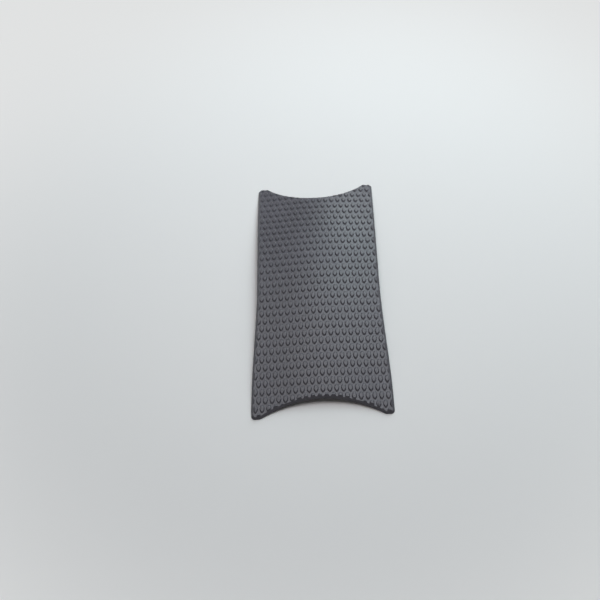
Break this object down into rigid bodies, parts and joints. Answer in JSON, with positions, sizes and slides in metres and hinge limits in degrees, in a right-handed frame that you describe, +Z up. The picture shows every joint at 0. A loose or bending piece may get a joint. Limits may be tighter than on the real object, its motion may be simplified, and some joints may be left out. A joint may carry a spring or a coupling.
{
  "type": "motorcycle tank pad",
  "caption": "Curved black rubber tank pad with a grip pattern of raised ovals, a bevelled edge all round and a concave notch at each end.",
  "frame": {"origin": "centre of the pad's bounding box at its base, with the pad crown up on its four corners", "axes": "+Y forward, towards the end with the tighter notch; +Z up, out of the patterned face; +X to the rider's right"},
  "size_m": [0.1464, 0.307, 0.0194],
  "materials": {
    "pad_rubber": "matt moulded rubber"
  },
  "bodies": {
    "root": {"tank_pad": "pad_rubber"}
  },
  "joints": []
}
